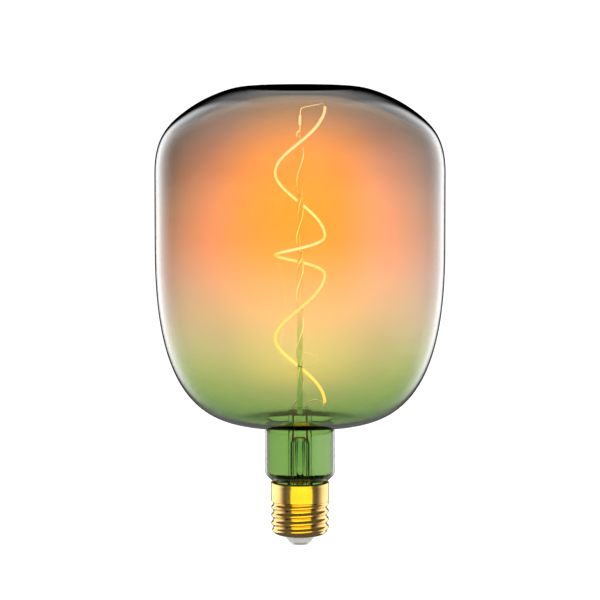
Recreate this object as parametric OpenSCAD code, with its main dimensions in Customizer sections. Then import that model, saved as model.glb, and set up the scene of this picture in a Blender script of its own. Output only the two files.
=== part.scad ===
// Smart filament light bulb: a blown glass drum on an E27 screw cap, with one long flexible LED filament
// wound three turns round a glass rod, and a driver with a radio board hidden in the cap.
// Millimetres, +Z up the bulb's axis, origin at the centre of the centre contact's flat face.

/* [Glass envelope] */
// Widest diameter of the glass drum
envelope_d = 131.2; // [124:0.2:140]
// Height of the top of the glass above the centre contact
overall_h = 207.7; // [204:0.1:216]
// Thickness of the glass at the sides
side_t = 0.8; // [0.7:0.1:1]
// Thickness of the glass at the crown
crown_t = 1.2; // [0.9:0.1:1.6]
// Thickness of the glass at the neck
neck_t = 1.3; // [1:0.1:1.4]
// Radius of the flat disc at the top
crown_flat_r = 25.7; // [20:0.1:30]
// Slope of the crown where it meets the shoulder, in degrees
crown_angle = 35.5; // [32:0.5:38]
// Diameter of the short glass neck
neck_d = 31.8; // [31:0.1:33]

/* [Glass stem] */
// Outer diameter of the stem tube
stem_d = 10.7; // [10:0.1:11.4]
// Bore of the stem tube
stem_bore_d = 7.2; // [6.8:0.1:7.4]
// Height of the top of the stem's press
stem_top = 62.2; // [61:0.1:63]
// Diameter of the glass rod
rod_d = 2.4; // [2:0.1:2.6]
// Height of the top of the rod
rod_top = 195.8; // [190:0.1:197]

/* [Filament] */
// Radius of the filament's winding round the rod
coil_r = 11.2; // [10:0.1:13]
// Rise of each of the two open turns
open_pitch = 58.8; // [50:0.2:60]
// Rise of the close turn in the middle
close_pitch = 16.6; // [12:0.2:20]
// Height of the middle of the winding
coil_mid = 131.8; // [130:0.1:133]
// Diameter of the coated filament
filament_d = 1.3; // [1.2:0.05:1.8]

/* [Screw cap] */
// Outer diameter of the cap's smooth band
band_d = 26.4; // [26.3:0.05:26.6]
// Diameter over the thread's crests
thread_d = 26.2; // [26.05:0.05:26.3]
// Diameter at the thread's roots
thread_root_d = 24.2; // [24.1:0.05:24.3]
// Thread pitch, 7 turns to the inch
thread_pitch = 3.629; // [3.6:0.001:3.65]
// Height of the cap's rim
rim_z = 28.4; // [28.2:0.1:28.6]
// Thickness of the rolled brass sheet
shell_t = 0.3; // [0.25:0.05:0.3]

/* [Hidden] */
$fn = 64;

envelope_r = envelope_d / 2;
neck_r = neck_d / 2;
stem_r = stem_d / 2;
rod_r = rod_d / 2;
wire_r = 0.2;
seal_r = 0.35;

// Heights and radii along the glass outline.
crown_r = 50.2;
crown_z = overall_h - 9.8;
shoulder_z = overall_h - 38.7;
side_z = 135.6;
belly = [30.1, 56.0];
ring = [15.7, 56.1];
waist = [13.9, 54.4];
neck_top = 50.8;
neck_low = 33.4;
glass_foot = [11.9, 22.6];

// Thread and cap heights.
thread_top = 20.4;
band_z = 20.2;
shell_foot = [7.0, 3.9];

// The press holds the seal wires this far out from the axis.
seal_x = 2.9;
cavity_top = 48.4;
press_flat = 6.8;

// The driver board stands on edge across the cap.
board_t = 1.0;
board_w = 20;
board_z = [7.2, 19.2];
radio_y = 5.2;
radio_t = 0.8;

// ---- Curves ----

// Points of a cubic Bezier curve.
function bezier(p, n) = [
    for (i = [0:n])
        let (t = i / n, s = 1 - t)
        s * s * s * p[0] + 3 * s * s * t * p[1] + 3 * s * t * t * p[2] + t * t * t * p[3]
];

// Several curves end to end, leaving out each repeated first point.
function chain(curves) = [
    for (k = [0:len(curves) - 1])
        for (i = [k == 0 ? 0 : 1 : len(curves[k]) - 1])
            curves[k][i]
];

function unit(v) = v / norm(v);
function backwards(v) = [for (i = [len(v) - 1:-1:0]) v[i]];

// Direction of a path at point i.
function along(p, i) = unit(p[min(i + 1, len(p) - 1)] - p[max(i - 1, 0)]);

// Rises smoothly from 0 to 1 between a and b.
function ease(a, b, x) = let (t = min(1, max(0, (x - a) / (b - a)))) t * t * (3 - 2 * t);

// ---- Sweeps ----

// Corner points of a round section.
function round_section(r, sides) = [for (k = [0:sides - 1]) r * [cos(360 * k / sides), sin(360 * k / sides)]];

// Triangles of the wall between two rings of n points, starting at points a and b.
function wall(a, b, n) = [
    for (k = [0:n - 1])
        let (m = (k + 1) % n)
        each [[a + k, b + k, a + m], [a + m, b + k, b + m]]
];

// A solid sweep of a section along rings of points.
module sweep_rings(rings) {
    n = len(rings[0]);
    last = len(rings) - 1;
    polyhedron(
        points = [for (r = rings) each r],
        faces = [
            for (j = [0:last - 1]) each wall(j * n, (j + 1) * n, n),
            [for (k = [0:n - 1]) k],
            [for (k = [n - 1:-1:0]) last * n + k]
        ]
    );
}

// Rings of a wire along a path that never runs along Y.
function wire_rings(path, r, sides) = [
    for (i = [0:len(path) - 1])
        let (t = along(path, i), n = unit(cross([0, 1, 0], t)), b = cross(t, n))
        [for (s = round_section(r, sides)) path[i] + s[0] * n + s[1] * b]
];

module wire(path, r = wire_r, sides = 8) sweep_rings(wire_rings(path, r, sides));

// A smooth run through hand-picked points, each corner cut twice.
function cut_corners(p) = concat(
    [p[0]],
    [for (i = [0:len(p) - 2]) each [p[i] * 0.75 + p[i + 1] * 0.25, p[i] * 0.25 + p[i + 1] * 0.75]],
    [p[len(p) - 1]]
);
function smooth_run(p) = cut_corners(cut_corners(p));

// ---- Filament path ----

coil_turns = 3;
coil_half = 180 * coil_turns;
close_half = 180;
coil_steps = 108;

// Grows as x does above zero, with a soft bend of width w at zero.
function soft_ramp(x, w) = (x + sqrt(x * x + w * w)) / 2;

// Height above the coil's middle after turning by angle a from it, the same both ways.
function coil_rise(a) =
    sign(a) * (close_pitch * abs(a)
        + (open_pitch - close_pitch) * (soft_ramp(abs(a) - close_half, 14) - soft_ramp(-close_half, 14))) / 360;

// The winding runs down from the top right, in front of the rod first.
function coil_point(a) = [coil_r * cos(a + coil_half), -coil_r * sin(a + coil_half), coil_mid - coil_rise(a)];
function coil_out(a) = [cos(a + coil_half), -sin(a + coil_half), 0];
function coil_along(a) = unit(coil_point(a + 1) - coil_point(a - 1));
function coil_across(a) = cross(coil_along(a), coil_out(a));
function coil_angle(i) = -coil_half + i * 2 * coil_half / coil_steps;

// A section [outward, across] placed on the winding at angle a.
function on_coil(a, section) = [for (s = section) coil_point(a) + s[0] * coil_out(a) + s[1] * coil_across(a)];

// Moves a piece into the winding's own axes: X along, Y across, Z outward.
module at_coil(a) {
    p = coil_point(a);
    x = coil_along(a);
    z = coil_out(a);
    y = cross(z, x);
    multmatrix([[x[0], y[0], z[0], p[0]], [x[1], y[1], z[1], p[1]], [x[2], y[2], z[2], p[2]], [0, 0, 0, 1]])
        children();
}

strip_w = 0.7;
strip_t = 0.1;
cavity_w = 0.8;
cavity_h = 0.4;
tab_l = 2.4;
led_count = 72;

// ---- Glass ----

// The outside of the glass, from the top centre down to the foot inside the cap.
slope = [cos(crown_angle), -sin(crown_angle)];
crown_end = [crown_r, crown_z];
outline = chain([
    [[0, overall_h], [crown_flat_r, overall_h]],
    bezier([[crown_flat_r, overall_h], [crown_flat_r + 5.3, overall_h], crown_end - 9.6 * slope, crown_end], 8),
    bezier([crown_end, crown_end + 11.8 * slope, [envelope_r, shoulder_z + 15.9], [envelope_r, shoulder_z]], 14),
    [[envelope_r, shoulder_z], [envelope_r, side_z]],
    bezier([[envelope_r, side_z], [envelope_r, side_z - 37.9], belly + [29.6, 5.8], belly], 24),
    bezier([belly, belly + [-3.5, -0.7], ring + [6, 0], ring], 8),
    bezier([ring, ring + [-1.2, 0], waist + [0, 0.9], waist], 7),
    bezier([waist, waist - [0, 1.6], [neck_r, neck_top + 2.0], [neck_r, neck_top]], 8),
    [[neck_r, neck_top], [neck_r, neck_low]],
    bezier([[neck_r, neck_low], [neck_r, neck_low - 1.8], [13.3, 29.9], [12.3, 28.8]], 7),
    bezier([[12.3, 28.8], [12.0, 28.4], [glass_foot[0], 28.0], [glass_foot[0], 27.2]], 3),
    [[glass_foot[0], 27.2], glass_foot]
]);

// The glass is thin at the sides and heavier at the crown and the neck.
function wall_t(z) = side_t + (crown_t - side_t) * ease(150, 206, z) + (neck_t - side_t) * (1 - ease(50, 62, z));
glass_inside = [
    for (i = [0:len(outline) - 1])
        let (v = i == 0 ? [1, 0] : along(outline, i))
        outline[i] + wall_t(outline[i][1]) * [v[1], -v[0]]
];

module glass_envelope() {
    color([0.55, 0.62, 0.5, 0.4])
    rotate_extrude() polygon(concat(outline, backwards(glass_inside)));
}

// The flare that seals the stem to the neck, and the outside of the stem above it.
flare = bezier([[10.5, 23.2], [8.2, 25.4], [stem_r, 27.4], [stem_r, 31.6]], 10);
bore_r = stem_bore_d / 2;
flare_inside = bezier([[10.5, 21.6], [7.6, 23.2], [bore_r, 26.4], [bore_r, 31.6]], 10);

// The press is pinched flat, front to back.
press_side = [
    [stem_r + 6, 20], [stem_r + 6, 46.5], [stem_r, 47.4], [press_flat / 2, 52.4], [press_flat / 2, stem_top + 1],
    [-press_flat / 2, stem_top + 1], [-press_flat / 2, 52.4], [-stem_r, 47.4], [-stem_r - 6, 46.5], [-stem_r - 6, 20]
];

module stem_tube() {
    corner = 1.7;
    color([0.55, 0.72, 0.5, 0.4])
    difference() {
        intersection() {
            rotate_extrude()
            polygon(chain([
                flare,
                [[stem_r, 31.6], [stem_r, stem_top - corner]],
                [for (a = [0:15:90]) [stem_r - corner + corner * cos(a), stem_top - corner + corner * sin(a)]],
                [[stem_r - corner, stem_top], [0, stem_top], [0, cavity_top]],
                bezier([[0, cavity_top], [bore_r * 0.7, cavity_top], [bore_r, cavity_top - 1], [bore_r, 46]], 6),
                backwards(flare_inside)
            ]));
            rotate([90, 0, 90])
            translate([0, 0, -15])
            linear_extrude(30) polygon(press_side);
        }
        for (x = [-seal_x, seal_x])
            translate([x, 0, 40]) cylinder(r = seal_r + 0.02, h = 30);
        translate([0, 0, stem_top - 3.02]) cylinder(r = rod_r + 0.02, h = 6);
        translate([0, 0, 40]) cylinder(r = 1.2, h = 11.5);
        translate([0, 0, 51]) rotate([-90, 0, 0]) cylinder(r = 1.2, h = 10);
    }
}

module exhaust_tube() {
    r = 2.2;
    bore = 1.4;
    tip_z = 20.4;
    color([0.8, 0.9, 0.85, 0.4])
    difference() {
        union() {
            translate([0, 0, tip_z + 4]) cylinder(r = r, h = cavity_top - 0.3 - tip_z - 4);
            translate([0, 0, tip_z + 0.6]) cylinder(r1 = 0.7, r2 = r, h = 3.4);
            translate([0, 0, tip_z + 0.7]) sphere(r = 0.75);
        }
        translate([0, 0, tip_z + 4]) cylinder(r = bore, h = 40);
        translate([0, 0, tip_z + 2.2]) cylinder(r1 = 0.3, r2 = bore, h = 1.8);
    }
}

module support_rod() {
    color([0.85, 0.92, 0.88, 0.5]) {
        translate([0, 0, stem_top - 3]) cylinder(r = rod_r, h = rod_top - rod_r * 0.6 - stem_top + 3);
        translate([0, 0, rod_top - rod_r * 0.6])
        intersection() {
            scale(1) sphere(r = rod_r);
            cylinder(r = rod_r, h = rod_r * 0.6);
        }
    }
}

// ---- Filament ----

module filament_coating() {
    outer = round_section(filament_d / 2, 10);
    inner = [
        for (s = round_section(1, 10))
            [sign(s[0]) * min(cavity_h / 2, abs(s[0])), sign(s[1]) * min(cavity_w / 2, abs(s[1]) * 0.6)]
    ];
    n = len(outer);
    rings = coil_steps + 1;
    inside = n * rings;
    color([1, 0.78, 0.2])
    polyhedron(
        points = concat(
            [for (i = [0:coil_steps]) each on_coil(coil_angle(i), outer)],
            [for (i = [0:coil_steps]) each on_coil(coil_angle(i), inner)]
        ),
        faces = [
            for (j = [0:coil_steps - 1]) each wall(j * n, (j + 1) * n, n),
            for (j = [0:coil_steps - 1]) each wall(inside + (j + 1) * n, inside + j * n, n),
            each wall(inside, 0, n),
            each wall(coil_steps * n, inside + coil_steps * n, n)
        ]
    );
}

module filament_strip() {
    low = -cavity_h / 2 + 0.02;
    section = [
        [low, -strip_w / 2], [low + strip_t, -strip_w / 2], [low + strip_t, strip_w / 2], [low, strip_w / 2]
    ];
    color([0.8, 0.5, 0.25])
    sweep_rings([for (i = [0:coil_steps]) on_coil(coil_angle(i), section)]);
}

module led_chips() {
    chip = [0.9, 0.38, 0.14];
    color([0.95, 0.9, 0.4])
    for (i = [0:led_count - 1])
        at_coil(-coil_half + (i + 0.5) * 2 * coil_half / led_count)
        translate([-chip[0] / 2, -chip[1] / 2, cavity_h / 2 - 0.02 - chip[2]]) cube(chip);
}

// A flat metal tab beyond one end of the filament: side is -1 at the top and 1 at the bottom.
module filament_tab(side) {
    color([0.8, 0.78, 0.72])
    at_coil(side * coil_half)
    translate([side > 0 ? 0.02 : -tab_l - 0.02, -0.45, -0.22]) cube([tab_l, 0.9, 0.2]);
}
module filament_tab_top() filament_tab(-1);
module filament_tab_bottom() filament_tab(1);

// ---- Wires in the glass ----

sleeve_r = 0.7;
sleeve_at = [0, -(rod_r + sleeve_r + 0.05)];
sleeve_z = [191.2, 195.6];

module splice_sleeve() {
    color([0.85, 0.85, 0.83])
    translate([sleeve_at[0], sleeve_at[1], sleeve_z[0]])
    difference() {
        cylinder(r = sleeve_r, h = sleeve_z[1] - sleeve_z[0]);
        translate([0, 0, -1]) cylinder(r = wire_r + 0.05, h = 10);
    }
}

hook_route = [
    [0, -1.95, 193.6], [0, -1.95, 196.6], [0.3, -1.9, 198.2], [1.6, -1.7, 199.0], [4, -1.0, 199.5],
    [7, 0.3, 199.9], [9.6, 1.7, 200.4], [10.6, 2.5, 200.9], [10.74, 1.6, 200.2], [10.74, 0.6, 199.4]
];
module top_hook_wire() {
    color([0.85, 0.85, 0.83]) wire(smooth_run(hook_route));
}

// The return lead climbs the rod in open turns.
lead_coil_r = rod_r + wire_r + 0.1;
lead_pitch = 25.9;
lead_front = 171.8;
lead_z = [66.5, lead_front + lead_pitch / 2];
function ring_point(r, a, z) = [r * cos(a), r * sin(a), z];
function lead_point(z) = ring_point(lead_coil_r, 270 + (z - lead_front) * 360 / lead_pitch, z);
lead_foot = [[-seal_x, 0, 61.02], [-seal_x, 0, 63.0], [-2.5, -0.5, 64.2], [-1.65, -1.15, 65.3]];
lead_steps = 72;

// The last half turn closes up to reach the splice sleeve in front of the rod.
lead_head = concat(
    [for (i = [1:8]) ring_point(lead_coil_r + 0.45 * (i / 8) ^ 2, 90 + 22.5 * i, lead_z[1] + 0.55 * i)],
    [[0, sleeve_at[1], 190.4], [0, sleeve_at[1], 193.2]]
);

module return_lead_wire() {
    turns = [for (i = [0:lead_steps]) lead_point(lead_z[0] + (lead_z[1] - lead_z[0]) * i / lead_steps)];
    color([0.85, 0.85, 0.83])
    wire(concat(lead_foot, turns, lead_head));
}

lower_route = [
    [seal_x, 0, 61.02], [seal_x, 0, 62.8], [3.6, 0.1, 64.4], [5.4, 0.3, 65.4], [7.6, 0.4, 65.6],
    [9.6, 0.3, 65.2], [10.6, -0.1, 64.6], [10.74, -0.8, 64.0], [10.74, -1.9, 63.1]
];
module lower_lead_wire() {
    color([0.85, 0.85, 0.83]) wire(smooth_run(lower_route));
}

module seal_wire(side) {
    color([0.72, 0.35, 0.2])
    translate([side * seal_x, 0, 46.52]) cylinder(r = seal_r, h = 61.0 - 46.52);
}
module seal_wire_left() seal_wire(-1);
module seal_wire_right() seal_wire(1);

function lead_out_route(side) = [
    [side * seal_x, 0, 46.5], [side * seal_x, 0, 38], [side * seal_x, 0.1, 30], [side * 3.4, 0.6, 25],
    [side * 4.2, 1.0, 21], [side * 4.4, 0.8, 18.2]
];
module lead_out_wire(side) {
    color([0.75, 0.75, 0.72]) wire(smooth_run(lead_out_route(side)));
}
module lead_out_wire_left() lead_out_wire(-1);
module lead_out_wire_right() lead_out_wire(1);

// ---- Screw cap ----

thread_mid = (thread_d + thread_root_d) / 4;
thread_amp = (thread_d - thread_root_d) / 4;
thread_phase = 15.1;
shell_sides = 40;

// Middle line of the rolled sheet from the band down to the foot.
shell_line = chain([
    [for (i = [0:36]) [thread_mid, thread_top - (thread_top - 7.0) * i / 36]],
    bezier([[thread_mid, 7.0], [thread_mid, 5.0], [10.2, shell_foot[1]], shell_foot], 7)
]);

// The thread starts under the band and runs out into the foot.
function thread_fade(z) = min(1, max(0, (z - 5.2) / 2.4));
function band_fade(z) = min(1, max(0, (z - 18.9) / 1.2));

// Outer radius and height of the sheet at angle a, lifted off by d along its profile.
function shell_point(i, a, d) =
    let (
        p = shell_line[i],
        v = along(shell_line, i),
        lift = thread_fade(p[1]) * thread_amp * cos(360 * (p[1] - thread_phase - thread_pitch * a / 360) / thread_pitch),
        up = band_fade(p[1]),
        out = (1 - up) * lift + up * (band_d / 2 - 0.05 - thread_mid) + d
    )
    let (q = p + out * [-v[1], v[0]]) [q[0] * cos(a), q[0] * sin(a), q[1]];

module screw_thread() {
    n = shell_sides;
    last = len(shell_line) - 1;
    loop = concat(
        [for (i = [0:last]) [i, 0]],
        [for (i = [last:-1:0]) [i, -(i == 0 ? shell_t - 0.1 : shell_t)]]
    );
    m = len(loop);
    polyhedron(
        points = [for (s = loop) for (k = [0:n - 1]) shell_point(s[0], 360 * k / n, s[1])],
        faces = [for (j = [0:m - 1]) each wall(((j + 1) % m) * n, j * n, n)]
    );
}

band_r = band_d / 2;
module screw_shell() {
    color([0.83, 0.62, 0.2]) {
        screw_thread();
        rotate_extrude()
        polygon([
            [band_r - shell_t, band_z], [band_r, band_z], [band_r, rim_z - 1.2], [band_r - 0.12, rim_z - 1.1],
            [band_r + 0.02, rim_z - 0.9], [band_r + 0.08, rim_z - 0.5], [band_r - 0.1, rim_z - 0.1],
            [band_r - 0.4, rim_z], [band_r - 0.6, rim_z - 0.15], [band_r - shell_t, rim_z - 0.5]
        ]);
    }
}

contact_shank_r = 1.6;
module cap_insulator() {
    color([0.93, 0.93, 0.92])
    difference() {
        rotate_extrude()
        polygon([
            [0, 0.9], [4.7, 0.9], [5.1, 1.1], [6.75, 3.6], [6.75, 4.25], [7.9, 4.3], [8.5, 4.6], [8.5, 6.0],
            [6.6, 6.0], [6.2, 5.4], [0, 5.4]
        ]);
        translate([0, 0, -1]) cylinder(r = contact_shank_r, h = 10);
    }
}

module centre_contact() {
    face_r = 4.0;
    edge = 0.7;
    color([0.78, 0.78, 0.77])
    difference() {
        rotate_extrude()
        polygon(concat(
            [[0, 0]],
            [for (a = [-90:15:0]) [face_r + edge * cos(a), edge + edge * sin(a)]],
            [[face_r + edge, 0.9], [contact_shank_r, 0.9], [contact_shank_r, 6.2], [0, 6.2]]
        ));
        translate([0, 0, 4]) cylinder(r = 0.35, h = 5);
    }
}

module basing_cement() {
    color([0.75, 0.72, 0.65])
    rotate_extrude()
    polygon([
        [glass_foot[0] + 0.02, 22.8], [band_r - shell_t - 0.02, 22.8], [band_r - shell_t - 0.02, 27.7],
        [glass_foot[0] + 0.3, 27.7], [glass_foot[0] + 0.02, 27.0]
    ]);
}

module insulating_sleeve() {
    color([0.9, 0.92, 0.9, 0.8])
    translate([0, 0, 6.7])
    difference() {
        cylinder(r = 11.3, h = 13.6);
        translate([0, 0, -1]) cylinder(r = 10.95, h = 20);
    }
}

module live_wire() {
    color([0.7, 0.1, 0.08])
    wire(smooth_run([[2.6, 0.8, 9.0], [2.4, 0.9, 7.4], [1.0, 0.6, 7.0], [0, 0, 6.6], [0, 0, 4.2]]), 0.3);
}

module neutral_wire() {
    color([0.1, 0.1, 0.1])
    wire(smooth_run([[-8.4, 0.85, 16.5], [-8.6, 0.9, 19.2], [-9.6, 0.5, 21.2], [-11.9, 0, 21.7]]), 0.3);
}

module neutral_solder_joint() {
    color([0.75, 0.75, 0.76])
    translate([-band_r + shell_t + 0.05, 0, 21.7])
    rotate([0, 90, 0])
    rotate_extrude()
    polygon([[0, 0], [0.7, 0], [0.68, 0.15], [0.5, 0.5], [0.2, 0.75], [0, 0.8]]);
}

// ---- Driver ----

module driver_board() {
    color([0.1, 0.4, 0.2])
    difference() {
        translate([-board_w / 2, -board_t / 2, board_z[0]]) cube([board_w, board_t, board_z[1] - board_z[0]]);
        for (i = [0:4])
            translate([-4 + 2 * i, 0, 8.6]) rotate([90, 0, 0]) cylinder(r = 0.4, h = 4, center = true);
    }
}

// A moulded package with gull-wing legs down both sides, lying on the board's back face.
module package(size, legs, pitch) {
    translate([-size[0] / 2, 0.12, -size[2] / 2]) cube(size);
    for (side = [-1, 1])
        for (i = [0:legs - 1])
            translate([(i - (legs - 1) / 2) * pitch - 0.2, 0, side * (size[2] / 2 + 0.4) - 0.4])
                cube([0.4, 0.5, 0.8]);
}

module bridge_rectifier() {
    color([0.12, 0.12, 0.12]) translate([-6.6, board_t / 2, 15.6]) package([4.6, 1.4, 3.6], 2, 2.5);
}

module driver_chip() {
    color([0.15, 0.15, 0.16]) translate([6.8, board_t / 2, 11.2]) package([4.9, 1.4, 3.8], 4, 1.27);
}

module chip_resistors() {
    color([0.16, 0.16, 0.2]) {
        for (i = [0:2])
            translate([4.6 + 2.0 * i, board_t / 2 + 0.02, 16.2]) cube([1.2, 0.5, 2.0]);
        for (i = [0:1])
            translate([-9.2 + 2.2 * i, board_t / 2 + 0.02, 9.6]) cube([1.2, 0.5, 2.0]);
    }
}

capacitor_r = 2.5;
capacitor_at = [-8.4, -board_t / 2 - capacitor_r - 0.2, 10.6];
module smoothing_capacitor() {
    color([0.12, 0.14, 0.2])
    translate(capacitor_at)
    rotate([0, 90, 0])
    rotate_extrude()
    polygon([
        [0, 0], [2.2, 0], [capacitor_r, 0.3], [capacitor_r, 1.1], [2.3, 1.4], [2.3, 1.7], [capacitor_r, 2.0],
        [capacitor_r, 8.6], [2.3, 8.9], [0, 8.9]
    ]);
}

module capacitor_leads() {
    color([0.8, 0.8, 0.8])
    for (z = [-1, 1])
        wire([
            capacitor_at + [8.92, 0, z], capacitor_at + [9.7, 0.1, z], capacitor_at + [10.2, 0.6, z],
            capacitor_at + [10.5, 1.4, z], capacitor_at + [10.7, 2.68, z]
        ], 0.22, 8);
}

inductor_at = [6.2, -board_t / 2 - 0.05, 11.4];
module inductor_core() {
    color([0.2, 0.2, 0.22])
    translate(inductor_at)
    rotate([90, 0, 0])
    rotate_extrude()
    polygon([[0, 0], [3, 0], [3, 1.1], [1.4, 1.3], [1.4, 5.1], [3, 5.3], [3, 6.2], [0, 6.2]]);
}

module inductor_winding() {
    rows = 9;
    color([0.75, 0.4, 0.15])
    translate(inductor_at)
    rotate([90, 0, 0])
    rotate_extrude()
    polygon(concat(
        [[1.43, 1.4], [2.5, 1.4]],
        [for (i = [0:rows - 1]) each [[2.7, 1.6 + i * 0.4], [2.5, 1.8 + i * 0.4]]],
        [[1.43, 5.0]]
    ));
}

resistor_at = [-7.4, -board_t / 2 - 1.3, 16.6];
module fusible_resistor() {
    color([0.25, 0.45, 0.35])
    translate(resistor_at)
    rotate([0, 90, 0])
    rotate_extrude()
    polygon([[0, 0], [0.9, 0], [1.1, 0.3], [1.1, 1.2], [0.95, 1.6], [0.95, 4.4], [1.1, 4.8], [1.1, 5.7], [0.9, 6], [0, 6]]);
}

module fusible_resistor_leads() {
    color([0.8, 0.8, 0.8]) {
        wire([resistor_at + [6.02, 0, 0], resistor_at + [7.0, 0.1, 0], resistor_at + [7.5, 0.5, 0],
            resistor_at + [7.7, 1.28, 0]], 0.22, 8);
        wire([resistor_at + [-0.02, 0, 0], resistor_at + [-0.7, 0.1, 0], resistor_at + [-1.1, 0.5, 0],
            resistor_at + [-1.3, 1.28, 0]], 0.22, 8);
    }
}

// Solder cones on the board's front face where leads and wires end.
module board_solder_joints() {
    color([0.78, 0.78, 0.8])
    for (p = [[-2.4, 18.2], [2.4, 18.2], [0.6, 15.0], [-9.2, 14.4], [9.2, 17.8]])
        translate([p[0], -board_t / 2, p[1]]) rotate([90, 0, 0]) cylinder(r1 = 0.55, r2 = 0.2, h = 0.6);
}

module radio_board() {
    color([0.08, 0.2, 0.45])
    difference() {
        translate([-6, radio_y, 8.0]) cube([12, radio_t, 11]);
        for (i = [0:4])
            translate([-4 + 2 * i, radio_y + radio_t / 2, 8.6]) rotate([90, 0, 0]) cylinder(r = 0.36, h = 4, center = true);
    }
}

module radio_shield_can() {
    color([0.75, 0.75, 0.76])
    translate([-4, radio_y + radio_t + 0.02, 9.4])
    difference() {
        cube([8, 1.6, 6]);
        translate([0.2, -1, 0.2]) cube([7.6, 2.4, 5.6]);
    }
}

module radio_antenna() {
    runs = 5;
    color([0.85, 0.65, 0.2])
    translate([-5.2, radio_y + radio_t + 0.1, 16.0])
    rotate([90, 0, 0])
    linear_extrude(0.08) {
        for (i = [0:runs]) translate([i * 2, 0]) square([0.4, 2.4]);
        for (i = [0:runs - 1]) translate([i * 2, i % 2 == 0 ? 2.0 : 0]) square([2.4, 0.4]);
    }
}

module radio_pins() {
    color([0.85, 0.65, 0.2])
    for (i = [0:4])
        translate([-4 + 2 * i - 0.2, -0.9, 8.4]) cube([0.4, radio_y + radio_t + 1.4, 0.4]);
}

module pin_header() {
    color([0.1, 0.1, 0.1])
    difference() {
        translate([-5, board_t / 2 + 0.02, 7.6]) cube([10, 2.4, 2.0]);
        for (i = [0:4])
            translate([-4 + 2 * i - 0.22, 0, 8.38]) cube([0.44, 6, 0.44]);
    }
}

glass_envelope();
stem_tube();
exhaust_tube();
support_rod();
filament_coating();
filament_strip();
led_chips();
filament_tab_top();
filament_tab_bottom();
top_hook_wire();
splice_sleeve();
return_lead_wire();
lower_lead_wire();
seal_wire_left();
seal_wire_right();
lead_out_wire_left();
lead_out_wire_right();
screw_shell();
cap_insulator();
centre_contact();
basing_cement();
insulating_sleeve();
live_wire();
neutral_wire();
neutral_solder_joint();
driver_board();
bridge_rectifier();
driver_chip();
chip_resistors();
smoothing_capacitor();
capacitor_leads();
inductor_core();
inductor_winding();
fusible_resistor();
fusible_resistor_leads();
board_solder_joints();
radio_board();
radio_shield_can();
radio_antenna();
radio_pins();
pin_header();
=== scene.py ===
"""A smart filament bulb: a drum of tinted glass, one long flexible filament and a brass screw cap."""
import math
import bmesh
import bpy
from mathutils import Matrix, Vector


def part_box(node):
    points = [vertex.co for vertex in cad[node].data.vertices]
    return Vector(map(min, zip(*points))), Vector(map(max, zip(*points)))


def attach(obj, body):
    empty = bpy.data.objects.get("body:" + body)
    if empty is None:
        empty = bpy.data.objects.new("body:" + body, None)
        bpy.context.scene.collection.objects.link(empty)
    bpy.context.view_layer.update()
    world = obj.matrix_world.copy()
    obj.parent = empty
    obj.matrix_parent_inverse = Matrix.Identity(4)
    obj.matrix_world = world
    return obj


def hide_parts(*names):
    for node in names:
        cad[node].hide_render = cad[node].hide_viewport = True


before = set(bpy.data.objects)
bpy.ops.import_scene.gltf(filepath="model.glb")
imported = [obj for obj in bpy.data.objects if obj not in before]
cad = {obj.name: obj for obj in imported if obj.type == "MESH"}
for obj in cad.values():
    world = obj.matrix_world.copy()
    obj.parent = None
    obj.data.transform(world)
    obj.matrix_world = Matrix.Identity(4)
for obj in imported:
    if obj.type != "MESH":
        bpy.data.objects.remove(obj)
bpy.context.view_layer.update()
MM = 0.001


# ---------------------------------------------------------------- geometry helpers, in millimetres

QUARTER_TURN = [math.pi / 2 * i / 8 for i in range(9)]
# A wire's rounded end: how far past its last point, and how thick there, both in radii.
ROUNDED_END = ((0.18, 0.85), (0.30, 0.45))


def bezier(p0, p1, p2, p3, n):
    """Points of a cubic curve."""
    out = []
    for i in range(n + 1):
        t = i / n
        s = 1 - t
        out.append(tuple(s**3 * a + 3 * s * s * t * b + 3 * s * t * t * c + t**3 * d
                         for a, b, c, d in zip(p0, p1, p2, p3)))
    return out


def even(a, b, steps):
    """Evenly spaced points from a to b."""
    return [tuple(p + (q - p) * i / steps for p, q in zip(a, b)) for i in range(steps + 1)]


def chain(*runs):
    """Runs of points end to end, without the repeated ones."""
    out = []
    for run in runs:
        for p in run:
            if not out or math.dist(out[-1], p) > 1e-6:
                out.append(tuple(p))
    return out


def normals(line):
    """Unit normals of a (radius, height) line, on its right."""
    out = []
    for i in range(len(line)):
        a, b = line[max(i - 1, 0)], line[min(i + 1, len(line) - 1)]
        d = math.dist(a, b)
        out.append(((b[1] - a[1]) / d, -(b[0] - a[0]) / d))
    return out


def smoothstep(lo, hi, x):
    t = min(1.0, max(0.0, (x - lo) / (hi - lo)))
    return t * t * (3 - 2 * t)


def smooth_run(points, cuts=3):
    """Corners cut again and again, ends kept."""
    pts = [Vector(p) for p in points]
    for _ in range(cuts):
        out = [pts[0]]
        for a, b in zip(pts, pts[1:]):
            out += [a * 0.75 + b * 0.25, a * 0.25 + b * 0.75]
        pts = out + [pts[-1]]
    return pts


def circle(r, z, sides, squash=1.0):
    """Points round the axis, drawn in from front to back when squash is below 1."""
    turns = (2 * math.pi * k / sides for k in range(sides))
    return [(r * math.cos(a), r * squash * math.sin(a), z) for a in turns]


def ring_faces(a, b, n):
    """Faces between ring a and ring b of n points each."""
    return [(a * n + k, a * n + (k + 1) % n, b * n + (k + 1) % n, b * n + k) for k in range(n)]


def ring_cap(a, n):
    """One face over ring a."""
    return tuple(a * n + k for k in range(n))


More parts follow.
